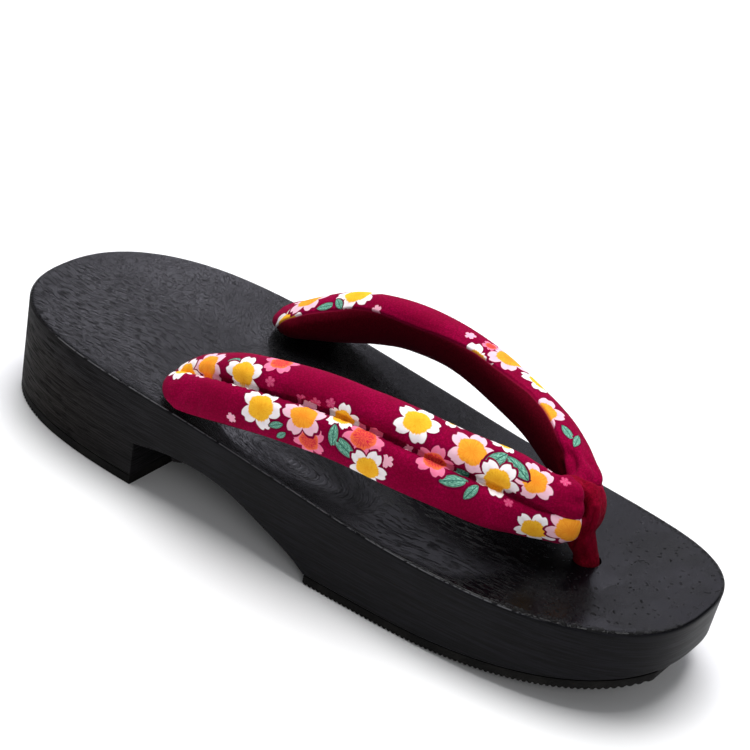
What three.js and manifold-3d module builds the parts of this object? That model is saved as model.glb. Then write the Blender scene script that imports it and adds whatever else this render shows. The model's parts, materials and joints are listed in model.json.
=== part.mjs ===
// A geta sandal: a lacquered wooden base on two rubber treads, with a padded thong strap.
// Millimetres. The origin is on the floor under the middle of the outline, +Y is the toe, +Z is up.
import * as THREE from "three";
import { mergeVertices } from "three/addons/utils/BufferGeometryUtils.js";
import Module from "manifold-3d";

const wasm = await Module();
wasm.setup();

// Driving sizes of the base
const LENGTH = 240;
const WIDTH = 82;
const HEEL_HEIGHT = 32.6;
const EDGE_ROUND = 1;
const TOE_LEAN = 0.14; // how far the toe's wall goes in for each millimetre down
const TOE_LEAN_ONSET = 3; // a higher power keeps the lean nearer to the toe tip
const BREAST_BACK = 51.2; // from the middle of the base back to the heel block's front face
const FOREFOOT_FRONT = 15.4; // from the middle of the base on to the forefoot's rear edge
const ARCH_HEIGHT = 17.1;
const SPRING_START = 42.4; // from the middle of the base on to where the underside begins to rise
const TOE_SPRING = 12;

// Driving sizes of the treads
const TREAD = 3;
const TREAD_TOE_MARGIN = 4;

// Driving sizes of the cords and of the holes that they go through
const TOE_HOLE_INSET = 38.5; // from the toe tip back to the front hole
const POST_DIAMETER = 7.6;
const REAR_HOLE_BACK = 42;
const REAR_HOLE_INSET = 14; // from the outline's side in to a rear hole
const CORD_DIAMETER = 5;
const KNOT_DIAMETER = 14;
const KNOT_HEIGHT = 7;
const RECESS_DIAMETER = 20;
const RECESS_DEPTH = 9;

// Driving sizes of the strap and of the loop round its middle
const STRAP_WIDTH = 23;
const STRAP_THICKNESS = 15; // of a section that is as round below as above
const LINING_FLATNESS = 0.8; // the lining side's bulge as a share of the printed side's
const STRAP_INSET = 8.6; // from the outline's side in to the centre of an arm at its widest
const STRAP_RISE = 22.1; // from the foot bed up to the centre of an arm at its highest
const STRAP_SWAY = 3; // how far both rear ends lie towards +X
const STRAP_HEEL_REACH = 7.8; // from a rear hole back to the end of the arm's centre line
const JUNCTION_SETBACK = 7.8; // from the front hole back to the strap's middle
const GROOVE_DEPTH = 0.36; // as a share of the strap's half thickness
const GROOVE_WIDTH = 0.18; // as a share of the strap's half width
const LOOP_WIDTH = 12;
const LOOP_THICKNESS = 2.2;
const LOOP_EDGE_DROP = 0.06; // how far its edges turn in, as a share of its radius
const POST_LEAN = 2.4; // how far the post's head lies behind the front hole

// Clearances
const GAP = 0.3; // between pieces that touch
const HOLE_GAP = 0.4; // all round a cord in its hole

// How finely curves are drawn
const OUTLINE_STEPS = 48;
const ARM_STEPS = 38;
const SECTION_STEPS = 32;
const SECTION_CROWDING = 0.5; // how much closer together the points stand at the groove
const LOOP_STEPS = 48;
const BARREL_STEPS = 8;
const ROUND_STEPS = 24;
const PROFILE_STEPS = 24;
const KNOT_STEPS = 10;
const POST_STEPS = 12;
const EDGE_STEPS = 3;
const WELD = 1e-4; // points closer than this are one

const TOE_Y = LENGTH / 2;
const FRONT_HOLE_Y = TOE_Y - TOE_HOLE_INSET;
const ABOVE_ALL = 3 * HEEL_HEIGHT;
const BELOW_ALL = -HEEL_HEIGHT;
const REAR_HOLE_OUT = WIDTH / 2 - REAR_HOLE_INSET;
const STRAP_SPREAD = WIDTH / 2 - STRAP_INSET;

// The two ends of the outline. reach is a share of the length.
const ENDS = {
  toe: { reach: 0.785, fullness: 6.2, roundness: 2.53 },
  heel: { reach: 0.382, fullness: 3.56, roundness: 2.32 },
};

// The foot bed's height along the middle line, at equal steps from heel to toe, as shares of HEEL_HEIGHT
const BED = [
  { height: 0.999 },
  { height: 1.01 },
  { height: 0.97 },
  { height: 0.874 },
  { height: 0.773 },
  { height: 0.775 },
  { height: 0.887 },
];

// The arch from the heel's breast to the forefoot: along as a share of its span, up of ARCH_HEIGHT
const ARCH = [
  { along: 0, up: 0.84 },
  { along: 0.22, up: 1 },
  { along: 0.5, up: 0.955 },
  { along: 0.76, up: 0.62 },
  { along: 0.92, up: 0.36 },
  { along: 1, up: 0.17 },
];

// The strap's arm from the middle at the toe to its rear end.
// out is a share of STRAP_SPREAD, back of the arm's length along the sandal, up of STRAP_RISE,
// width of STRAP_WIDTH, thick of STRAP_THICKNESS, sway of STRAP_SWAY and groove of GROOVE_DEPTH.
// lean is the printed face's turn outwards in degrees.
const ARM = [
  { out: 0, back: 0, up: 0.677, width: 0.74, thick: 0.6, lean: 88, sway: 0, groove: 0 },
  { out: 0.21, back: 0.018, up: 0.71, width: 0.8, thick: 0.75, lean: 79, sway: 0, groove: 0.35 },
  { out: 0.465, back: 0.112, up: 0.86, width: 0.95, thick: 1.02, lean: 63, sway: 0, groove: 0.9 },
  { out: 0.713, back: 0.26, up: 0.99, width: 1.01, thick: 1.03, lean: 51, sway: 0, groove: 1 },
  { out: 0.95, back: 0.527, up: 1, width: 0.99, thick: 0.99, lean: 47, sway: 0, groove: 1 },
  { out: 1, back: 0.772, up: 0.65, width: 0.99, thick: 1, lean: 42, sway: 0.05, groove: 1 },
  { out: 0.92, back: 0.885, up: 0.375, width: 0.96, thick: 0.9, lean: 30, sway: 0.4, groove: 1 },
  { out: 0.83, back: 1, up: 0.105, width: 0.79, thick: 0.52, lean: 6, sway: 1, groove: 0.8 },
];

// A smooth function through the columns of a table, whose rows lie at the places given
function smooth(places, rows, columns) {
  const values = rows.flatMap((row) => columns.map((column) => row[column]));
  const curve = new THREE.CubicInterpolant(places, values, columns.length, []);
  return (place) => {
    const found = curve.evaluate(place);
    return Object.fromEntries(columns.map((column, i) => [column, found[i]]));
  };
}

// The outline's half width at a place along it
function halfWidth(y) {
  const share = ({ reach, fullness, roundness }, distance) => {
    const left = Math.max(0, 1 - distance / (reach * LENGTH));
    return (1 - left ** fullness) ** (1 / roundness);
  };
  const toe = share(ENDS.toe, Math.max(0, TOE_Y - y));
  const heel = share(ENDS.heel, Math.max(0, TOE_Y + y));
  return (WIDTH / 2) * Math.min(toe, heel);
}

const bedPlaces = BED.map((_, i) => -TOE_Y + (LENGTH * i) / (BED.length - 1));
const bedCurve = smooth(bedPlaces, BED, ["height"]);
const bedHeight = (y) => HEEL_HEIGHT * bedCurve(y).height;

// The underside of the forefoot's tread, flat and then rising to the toe
function forefootHeight(y) {
  const share = Math.max(0, (y - SPRING_START) / (TOE_Y - SPRING_START));
  return TOE_SPRING * share ** 2;
}

const archSpan = FOREFOOT_FRONT + BREAST_BACK;
const archPlaces = ARCH.map(({ along }) => -BREAST_BACK + archSpan * along);
const archCurve = smooth(archPlaces, ARCH, ["up"]);
const archHeight = (y) => Math.max(TREAD + GAP, ARCH_HEIGHT * archCurve(y).up);

// Meshes and solids

function solidOf(geometry) {
  const bare = geometry.clone();
  bare.deleteAttribute("normal");
  bare.deleteAttribute("uv");
  const merged = mergeVertices(bare, WELD);
  return new wasm.Manifold(
    new wasm.Mesh({
      numProp: 3,
      vertProperties: new Float32Array(merged.attributes.position.array),
      triVerts: new Uint32Array(merged.index.array),
    }),
  );
}

function geometryOf(solid) {
  const mesh = solid.getMesh();
  const geometry = new THREE.BufferGeometry();
  geometry.setAttribute("position", new THREE.BufferAttribute(mesh.vertProperties, mesh.numProp));
  geometry.setIndex(new THREE.BufferAttribute(mesh.triVerts, 1));
  geometry.computeVertexNormals();
  return geometry;
}

function indexedGeometry(points, triangles) {
  const geometry = new THREE.BufferGeometry().setFromPoints(points);
  geometry.setIndex(triangles);
  return geometry;
}

// The triangles between rings of equal length, each ring running round its direction of travel
function wallTriangles(ringCount, size, closed) {
  const triangles = [];
  const last = closed ? ringCount : ringCount - 1;
  for (let ring = 0; ring < last; ring++) {
    const next = (ring + 1) % ringCount;
    for (let i = 0; i < size; i++) {
      const j = (i + 1) % size;
      const [a, b] = [ring * size + i, ring * size + j];
      const [c, d] = [next * size + i, next * size + j];
      triangles.push(a, b, d, a, d, c);
    }
  }
  return triangles;
}

// A closed solid through rings, with a point at each end
function spindle(rings, first, last) {
  const size = rings[0].length;
  const points = [...rings.flat(), first, last];
  const triangles = wallTriangles(rings.length, size, false);
  const [start, end] = [points.length - 2, points.length - 1];
  const top = (rings.length - 1) * size;
  for (let i = 0; i < size; i++) {
    const j = (i + 1) % size;
    triangles.push(start, j, i, end, top + i, top + j);
  }
  return solidOf(indexedGeometry(points, triangles));
}

// A plate between rings that run from the heel tip round by the toe tip, each end closed across
function plate(rings) {
  const size = rings[0].length;
  const triangles = wallTriangles(rings.length, size, false);
  const across = (ring, facingUp) => {
    const at = (i) => ring * size + (i % size);
    const add = (a, b, c) => triangles.push(...(facingUp ? [a, b, c] : [a, c, b]));
    add(at(0), at(1), at(size - 1));
    for (let i = 1; i < size / 2 - 1; i++) {
      add(at(i), at(i + 1), at(size - i - 1));
      add(at(i), at(size - i - 1), at(size - i));
    }
    add(at(size / 2 - 1), at(size / 2), at(size / 2 + 1));
  };
  across(0, false);
  across(rings.length - 1, true);
  return solidOf(indexedGeometry(rings.flat(), triangles));
}

// A side profile of the sandal, drawn along Y and Z, carried right across it
function acrossSandal(shape) {
  const width = 2 * WIDTH;
  const geometry = new THREE.ExtrudeGeometry(shape, {
    depth: width,
    bevelEnabled: false,
    curveSegments: PROFILE_STEPS,
  });
  geometry.translate(0, 0, -width / 2);
  geometry.rotateX(Math.PI / 2);
  geometry.rotateZ(Math.PI / 2);
  return solidOf(geometry);
}

function uprightCylinder(diameter, x, y, bottom, top) {
  const geometry = new THREE.CylinderGeometry(diameter / 2, diameter / 2, top - bottom, ROUND_STEPS);
  geometry.rotateX(Math.PI / 2);
  geometry.translate(x, y, (top + bottom) / 2);
  return solidOf(geometry);
}

// The whole block that the base and the treads are cut from

// One ring of the block, from the heel tip along +X to the toe tip and back
function outlineRing(inset, height) {
  const ring = [];
  const [long, wide] = [1 - (2 * inset) / LENGTH, 1 - (2 * inset) / WIDTH];
  for (let i = 0; i < 2 * OUTLINE_STEPS; i++) {
    const y = -TOE_Y * Math.cos((Math.PI * i) / OUTLINE_STEPS);
    const side = i < OUTLINE_STEPS ? 1 : -1;
    const z = height(y * long);
    const depth = bedHeight(y) - z;
    const lean = TOE_LEAN * depth * Math.max(0, y / TOE_Y) ** TOE_LEAN_ONSET;
    ring.push(new THREE.Vector3(side * halfWidth(y) * wide, y * long - lean, z));
  }
  return ring;
}

function block() {
  const rings = [outlineRing(0, () => BELOW_ALL)];
  for (let i = 0; i <= EDGE_STEPS; i++) {
    const angle = (Math.PI / 2) * (i / EDGE_STEPS);
    const inset = EDGE_ROUND * (1 - Math.cos(angle));
    const drop = EDGE_ROUND * (1 - Math.sin(angle));
    rings.push(outlineRing(inset, (y) => bedHeight(y) - drop));
  }
  return plate(rings);
}

// Points along the rising underside of the forefoot, lifted by a height
function forefootPoints(lift, end) {
  const points = [new THREE.Vector2(FOREFOOT_FRONT, forefootHeight(FOREFOOT_FRONT) + lift)];
  for (let i = 0; i <= PROFILE_STEPS; i++) {
    const y = SPRING_START + ((end - SPRING_START) * i) / PROFILE_STEPS;
    points.push(new THREE.Vector2(y, forefootHeight(y) + lift));
  }
  return points;
}

// What lies above the underside of the wood: the heel block, the arch and the forefoot
function woodProfile() {
  const past = TOE_Y + WIDTH;
  const seat = TREAD + GAP;
  const shape = new THREE.Shape();
  shape.moveTo(-past, seat);
  shape.lineTo(-BREAST_BACK, seat);
  for (let i = 0; i < PROFILE_STEPS; i++) {
    const y = -BREAST_BACK + (archSpan * i) / PROFILE_STEPS;
    shape.lineTo(y, archHeight(y));
  }
  for (const point of forefootPoints(seat, TOE_Y)) {
    shape.lineTo(point.x, point.y);
  }
  shape.lineTo(past, forefootHeight(TOE_Y) + seat);
  shape.lineTo(past, ABOVE_ALL);
  shape.lineTo(-past, ABOVE_ALL);
  return shape;
}

function frontTreadProfile() {
  const end = TOE_Y - TREAD_TOE_MARGIN;
  const under = forefootPoints(0, end);
  const over = forefootPoints(TREAD, end).reverse();
  return new THREE.Shape([...under, ...over]);
}

function heelTreadProfile() {
  const shape = new THREE.Shape();
  shape.moveTo(-TOE_Y - WIDTH, 0);
  shape.lineTo(-BREAST_BACK, 0);
  shape.lineTo(-BREAST_BACK, TREAD);
  shape.lineTo(-TOE_Y - WIDTH, TREAD);
  return shape;
}

// The strap

const armSpan = FRONT_HOLE_Y - JUNCTION_SETBACK + REAR_HOLE_BACK + STRAP_HEEL_REACH;

// One arm as a smooth function of the way along it. Both arms are drawn on the +X side, and side
// tells which one it is.
function armShape(side) {
  const rows = ARM.map((row) => {
    const y = FRONT_HOLE_Y - JUNCTION_SETBACK - armSpan * row.back;
    return {
      x: STRAP_SPREAD * row.out + side * STRAP_SWAY * row.sway,
      y,
      z: bedHeight(y) + STRAP_RISE * row.up,
      halfWide: (STRAP_WIDTH / 2) * row.width,
      halfThick: (STRAP_THICKNESS / 2) * row.thick,
      lean: THREE.MathUtils.degToRad(row.lean),
      groove: GROOVE_DEPTH * row.groove,
    };
  });
  const places = [0];
  for (let i = 1; i < rows.length; i++) {
    const [a, b] = [rows[i - 1], rows[i]];
    places.push(places[i - 1] + Math.hypot(b.x - a.x, b.y - a.y, b.z - a.z));
  }
  const at = smooth(places, rows, ["x", "y", "z", "halfWide", "halfThick", "lean", "groove"]);
  return { side, at, length: places.at(-1) };
}

// An arm's centre, its direction, the way across its width and the way out of its printed face
function armFrame(arm, place) {
  const row = arm.at(place);
  const near = arm.length / ARM_STEPS;
  const from = arm.at(Math.max(0, place - near));
  const to = arm.at(Math.min(arm.length, place + near));
  const along = new THREE.Vector3(to.x - from.x, to.y - from.y, to.z - from.z);
  if (place === 0) along.set(1, 0, 0);
  along.normalize();
  const level = new THREE.Vector3(0, 0, 1).cross(along).normalize();
  const face = along.clone().cross(level).normalize();
  const [c, s] = [Math.cos(row.lean), Math.sin(row.lean)];
  const across = level.clone().multiplyScalar(c).addScaledVector(face, -s);
  const out = level.clone().multiplyScalar(s).addScaledVector(face, c);
  return { ...row, centre: new THREE.Vector3(row.x, row.y, row.z), along, across, out };
}

// One section of an arm: two rolls side by side on the printed face, with a groove between them,
// over a flatter lining. The arm's last stretch rounds off to its tip.
function armRing(arm, place, grow) {
  const frame = armFrame(arm, place);
  const past = Math.max(0, (place - arm.length + frame.halfWide) / frame.halfWide);
  const scale = Math.sqrt(1 - Math.min(1, past) ** 2);
  const [wide, thick] = [frame.halfWide * scale + grow, frame.halfThick * scale + grow];
  const ring = [];
  for (let i = 0; i < SECTION_STEPS; i++) {
    const even = (2 * Math.PI * i) / SECTION_STEPS;
    const angle = even + SECTION_CROWDING * Math.cos(even);
    const [u, v] = [Math.cos(angle), Math.sin(angle)];
    const rolls = 1 - frame.groove * Math.exp(-((u / GROOVE_WIDTH) ** 2));
    const bulge = v > 0 ? rolls : LINING_FLATNESS;
    const point = frame.centre.clone();
    point.addScaledVector(frame.across, wide * u);
    point.addScaledVector(frame.out, thick * bulge * v);
    point.x *= arm.side;
    ring.push(point);
  }
  return ring;
}

function armTip(arm, grow) {
  const frame = armFrame(arm, arm.length);
  const tip = frame.centre.clone().addScaledVector(frame.along, grow);
  tip.x *= arm.side;
  return tip;
}

// The strap through both arms, larger all round by grow
function strapSolid(grow) {
  const [right, left] = [armShape(1), armShape(-1)];
  const rings = [];
  for (let i = 1 - ARM_STEPS; i < ARM_STEPS; i++) {
    const arm = i < 0 ? left : right;
    const share = Math.sin((Math.PI / 2) * Math.abs(i / ARM_STEPS));
    rings.push(armRing(arm, arm.length * share, grow));
  }
  return spindle(rings, armTip(left, grow), armTip(right, grow));
}

// The loop round the strap's middle and its post

const junction = armFrame(armShape(1), 0);

// A barrel round the strap's middle, which the strap is cut out of
function loopSolid() {
  const cloth = GAP + LOOP_THICKNESS;
  const points = [new THREE.Vector2(0, -LOOP_WIDTH / 2)];
  for (let i = 0; i <= BARREL_STEPS; i++) {
    const share = (2 * i) / BARREL_STEPS - 1;
    const radius = 1 - LOOP_EDGE_DROP * share ** 4;
    points.push(new THREE.Vector2(radius, (LOOP_WIDTH / 2) * share));
  }
  points.push(new THREE.Vector2(0, LOOP_WIDTH / 2));
  const barrel = new THREE.LatheGeometry(points, LOOP_STEPS);
  barrel.rotateZ(-Math.PI / 2);
  barrel.scale(1, junction.halfThick + cloth, junction.halfWide + cloth);
  barrel.translate(0, junction.y, junction.z);
  return solidOf(barrel);
}

// The post from the loop's underside down into the front hole
function postSolid(bottom) {
  const bed = bedHeight(FRONT_HOLE_Y);
  const under = junction.z - junction.halfWide + LOOP_THICKNESS;
  const path = new THREE.CatmullRomCurve3([
    new THREE.Vector3(0, FRONT_HOLE_Y - POST_LEAN, under),
    new THREE.Vector3(0, FRONT_HOLE_Y - POST_LEAN / 2, (under + bed) / 2),
    new THREE.Vector3(0, FRONT_HOLE_Y, bed),
    new THREE.Vector3(0, FRONT_HOLE_Y, bottom),
  ]);
  const rings = [];
  for (let i = 0; i <= POST_STEPS; i++) {
    const centre = path.getPoint(i / POST_STEPS);
    const ring = [];
    for (let j = 0; j < ROUND_STEPS; j++) {
      const angle = (-2 * Math.PI * j) / ROUND_STEPS;
      const offset = new THREE.Vector3(Math.cos(angle), Math.sin(angle), 0);
      ring.push(centre.clone().addScaledVector(offset, POST_DIAMETER / 2));
    }
    rings.push(ring);
  }
  return spindle(rings, path.getPoint(0), path.getPoint(1));
}

// A cord standing in its hole with a plain knot under the wood
function cordSolid(x, y, roof, top) {
  const middle = roof - GAP - KNOT_HEIGHT / 2;
  const neck = Math.acos(CORD_DIAMETER / KNOT_DIAMETER);
  const points = [];
  for (let i = 0; i <= KNOT_STEPS; i++) {
    const angle = THREE.MathUtils.lerp(-Math.PI / 2, neck, i / KNOT_STEPS);
    const radius = i === 0 ? 0 : (KNOT_DIAMETER / 2) * Math.cos(angle);
    points.push(new THREE.Vector2(radius, middle + (KNOT_HEIGHT / 2) * Math.sin(angle)));
  }
  points.push(new THREE.Vector2(CORD_DIAMETER / 2, top), new THREE.Vector2(0, top));
  const geometry = new THREE.LatheGeometry(points, ROUND_STEPS);
  geometry.rotateX(Math.PI / 2);
  geometry.translate(x, y, 0);
  return solidOf(geometry);
}

// The pieces

const frontUnderside = forefootHeight(FRONT_HOLE_Y) + TREAD + GAP;
const recessRoof = frontUnderside + RECESS_DEPTH;
const postBottom = recessRoof + POST_DIAMETER / 2;
const grownStrap = strapSolid(GAP);

function woodBase() {
  const frontHole = POST_DIAMETER + 2 * HOLE_GAP;
  const rearHole = CORD_DIAMETER + 2 * HOLE_GAP;
  let wood = block().intersect(acrossSandal(woodProfile()));
  wood = wood.subtract(uprightCylinder(frontHole, 0, FRONT_HOLE_Y, BELOW_ALL, ABOVE_ALL));
  wood = wood.subtract(uprightCylinder(RECESS_DIAMETER, 0, FRONT_HOLE_Y, BELOW_ALL, recessRoof));
  for (const side of [-1, 1]) {
    const x = side * REAR_HOLE_OUT;
    wood = wood.subtract(uprightCylinder(rearHole, x, -REAR_HOLE_BACK, BELOW_ALL, ABOVE_ALL));
  }
  return wood;
}

function frontTread() {
  const tread = block().intersect(acrossSandal(frontTreadProfile()));
  return tread.subtract(uprightCylinder(RECESS_DIAMETER, 0, FRONT_HOLE_Y, BELOW_ALL, ABOVE_ALL));
}

function heelTread() {
  return block().intersect(acrossSandal(heelTreadProfile()));
}

function toeLoop() {
  return loopSolid().add(postSolid(postBottom)).subtract(grownStrap);
}

function frontKnot() {
  return cordSolid(0, FRONT_HOLE_Y, recessRoof, postBottom - GAP);
}

function rearCord(side) {
  const roof = archHeight(-REAR_HOLE_BACK);
  const top = bedHeight(-REAR_HOLE_BACK) + STRAP_THICKNESS / 2;
  return cordSolid(side * REAR_HOLE_OUT, -REAR_HOLE_BACK, roof, top).subtract(grownStrap);
}

function material(color, roughness) {
  return new THREE.MeshStandardMaterial({ color, roughness, metalness: 0 });
}

const lacquer = material(0x1c1c20, 0.42);
const rubber = material(0x1a1817, 0.85);
const print = material(0x960a46, 0.9);
const crepe = material(0x6e0a1e, 0.95);
const cord = material(0x1e1a1c, 0.9);

const pieces = [
  { name: "wood_base", solid: woodBase(), material: lacquer },
  { name: "front_rubber_sole", solid: frontTread(), material: rubber },
  { name: "heel_rubber_sole", solid: heelTread(), material: rubber },
  { name: "strap", solid: strapSolid(0), material: print },
  { name: "toe_loop", solid: toeLoop(), material: crepe },
  { name: "front_knot", solid: frontKnot(), material: cord },
  { name: "rear_cord_left", solid: rearCord(-1), material: cord },
  { name: "rear_cord_right", solid: rearCord(1), material: cord },
];

const geta = new THREE.Group();
for (const piece of pieces) {
  const mesh = new THREE.Mesh(geometryOf(piece.solid), piece.material);
  mesh.name = piece.name;
  geta.add(mesh);
}

export default geta;
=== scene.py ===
"""A lacquered geta with a padded, flower-printed strap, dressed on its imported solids.

Sizes are in millimetres and are turned into metres where a mesh is made.
+Y is the toe, +Z is up, and +X is the near side.
"""

import json
import math

import bmesh
import bpy
import numpy as np
from mathutils import Matrix, Vector

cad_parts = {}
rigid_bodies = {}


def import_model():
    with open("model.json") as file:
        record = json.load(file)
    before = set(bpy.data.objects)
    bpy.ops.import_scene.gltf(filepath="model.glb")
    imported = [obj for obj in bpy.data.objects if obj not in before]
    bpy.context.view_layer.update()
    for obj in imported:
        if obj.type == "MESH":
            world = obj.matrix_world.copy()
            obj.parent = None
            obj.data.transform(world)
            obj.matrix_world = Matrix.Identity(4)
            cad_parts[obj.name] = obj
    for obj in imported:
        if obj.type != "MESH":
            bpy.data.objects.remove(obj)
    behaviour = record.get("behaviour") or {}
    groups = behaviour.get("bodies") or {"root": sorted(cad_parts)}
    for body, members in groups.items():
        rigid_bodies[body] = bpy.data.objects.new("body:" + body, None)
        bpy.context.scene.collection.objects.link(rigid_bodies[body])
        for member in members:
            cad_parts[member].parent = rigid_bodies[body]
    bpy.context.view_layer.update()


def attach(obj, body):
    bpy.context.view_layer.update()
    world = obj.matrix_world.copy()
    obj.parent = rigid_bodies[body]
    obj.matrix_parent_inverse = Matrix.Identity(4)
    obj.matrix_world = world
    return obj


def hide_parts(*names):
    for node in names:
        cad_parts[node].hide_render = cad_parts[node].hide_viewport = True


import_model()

METRE = 0.001

# Sizes of the base
LENGTH, WIDTH, HEEL_HEIGHT = 240.0, 82.0, 32.6
TOE = LENGTH / 2
EDGE_ROUND = 1.0
UNDER_ROUND = 0.5
TOE_LEAN, TOE_LEAN_ONSET = 0.09, 3
BREAST, FOREFOOT = -51.2, 15.4
ARCH_HEIGHT = 17.1
SPRING_START, TOE_SPRING = 42.4, 12.0
TREAD, TREAD_TOE_MARGIN = 3.0, 4.0
SEAM = 0.12
RIB_PITCH, RIB_DEPTH = 1.55, 0.5
SMOOTH_TOE = 118.0
TREAD_INSET = 0.997
RIBBED_HALF, HEEL_RIM = 0.43 * WIDTH, (-114, -108)
TOE_END = dict(reach=0.785, fullness=6.2, roundness=2.53)
HEEL_END = dict(reach=0.382, fullness=3.56, roundness=2.32)
BED = [0.999, 1.01, 0.97, 0.874, 0.773, 0.775, 0.887]
ARCH = [(0, 0.84), (0.22, 1), (0.5, 0.955), (0.76, 0.62), (0.92, 0.36), (1, 0.17)]

# The middle of the knot in the wood
KNOT_OUT, KNOT_ALONG = 30, -9

# Sizes of the cords and their holes
FRONT_HOLE = 81.5
POST_RADIUS = 3.8
REAR_HOLE_BACK, REAR_HOLE_OUT = 42.0, 27.0
CORD_RADIUS, KNOT_RADIUS, KNOT_HEIGHT = 2.1, 7.0, 7.0
RECESS_RADIUS, RECESS_DEPTH = 10.0, 9.0
GAP, HOLE_GAP, CORD_HOLE_GAP = 0.3, 0.4, 0.7
THROUGH = 60  # a height above the whole sandal, for holes that go right through
FRONT_CORD_RADIUS, FRONT_CORD_RISE = 2.4, 3.5
REAR_CORD_TOP = {1: 35.2, -1: 33.2}

# Sizes of the strap. The columns of ARM are out, back, up, width, thick, lean, sway and groove.
STRAP_WIDTH, STRAP_THICKNESS, LINING_FLATNESS = 23.0, 15.0, 0.8
STRAP_SPREAD, STRAP_RISE = 32.4, 22.1
STRAP_SWAY = {1: 3.4, -1: 4.3}
HEEL_REACH = {1: 6.4, -1: 9.6}
JUNCTION = FRONT_HOLE - 7.8
GROOVE_DEPTH, GROOVE_WIDTH = 0.5, 0.17
ARM = [
    (0, 0, 0.677, 0.74, 0.6, 88, 0, 0),
    (0.21, 0.018, 0.71, 0.8, 0.75, 79, 0, 0.35),
    (0.465, 0.112, 0.86, 0.95, 1.02, 63, 0, 0.9),
    (0.713, 0.26, 0.99, 1.01, 1.03, 51, 0, 1),
    (0.95, 0.527, 1, 0.99, 0.99, 47, 0, 1),
    (1, 0.772, 0.65, 0.99, 1, 42, 0.05, 1),
    (0.92, 0.885, 0.375, 0.96, 0.9, 30, 0.4, 1),
    (0.83, 1, 0.125, 0.88, 0.6, 6, 1, 0.8),
]

# The strap's grid, its seams, its creases, and its ends' swelling as height, place and length. The
# inner seam's rows are along and around, and the creases' are along, around, length, turn, width and
# depth. Arm 1 is the near one, -1 the far one.
ARM_ROWS, ARM_COLUMNS = 240, 190
BED_CLEARANCE = 0.1
END_SWELL = {1: (3.5, 5.5, 4), -1: (1.4, 5, 5)}
CHART_LENGTH = 137.3
CREASE, CREASE_WIDTH = 1.0, 0.65
OUTER_SEAM = 16.0
INNER_SEAM = [(0, 18), (17, 17.2), (30, 15.4), (38, 14.9), (52, 16), (60, 16.4), (71, 17.9), (80, 19),
              (87, 19.1), (102, 17.7), (111, 16.9), (120, 15), (127, 13.4), (132, 11.2), (138, 9)]
FOLDS = {
    1: [
        (6.5, -9.5, 7.5, 8, 1.1, 0.5), (7.5, -15.5, 8, -6, 1.2, 0.6), (5.2, -4.2, 5, 14, 0.9, 0.4),
        (6.8, 6.4, 6, -12, 1.0, 0.35), (4.4, 11.5, 5, 6, 1.1, 0.5), (13.5, -12, 6, 35, 1.2, 0.25),
        (124, 9.5, 7, 62, 1.3, 0.28), (117, 12.4, 5, 75, 1.2, 0.3), (129, 6, 4, 40, 1.1, 0.25),
        (84, 2.3, 3.2, 78, 0.7, 0.22), (66, -2.6, 3.4, 100, 0.7, 0.22), (44, 2.0, 3.5, 84, 0.7, 0.25),
        (36, -2.4, 3.5, 96, 0.7, 0.25), (22, 2.2, 3.6, 70, 0.8, 0.25),
    ],
    -1: [
        (8.5, -14, 9, 6, 1.2, 0.75), (7.5, -8.5, 9, -12, 1.2, 0.7), (9.5, -19.5, 9, 16, 1.3, 0.7),
        (6.5, -3.2, 7, 18, 1.1, 0.55), (14.5, -16.5, 7, -24, 1.4, 0.4), (16, -9, 6, 30, 1.3, 0.3),
        (6, 5, 7, 10, 1.1, 0.5), (7, 11, 8, -8, 1.2, 0.55), (5, -25, 7, 0, 1.3, 0.5),
        (127, -14, 6, 50, 1.3, 0.25), (121, 8, 6, 70, 1.2, 0.25), (60, 2.3, 3.5, 82, 0.7, 0.22),
    ],
}

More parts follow.
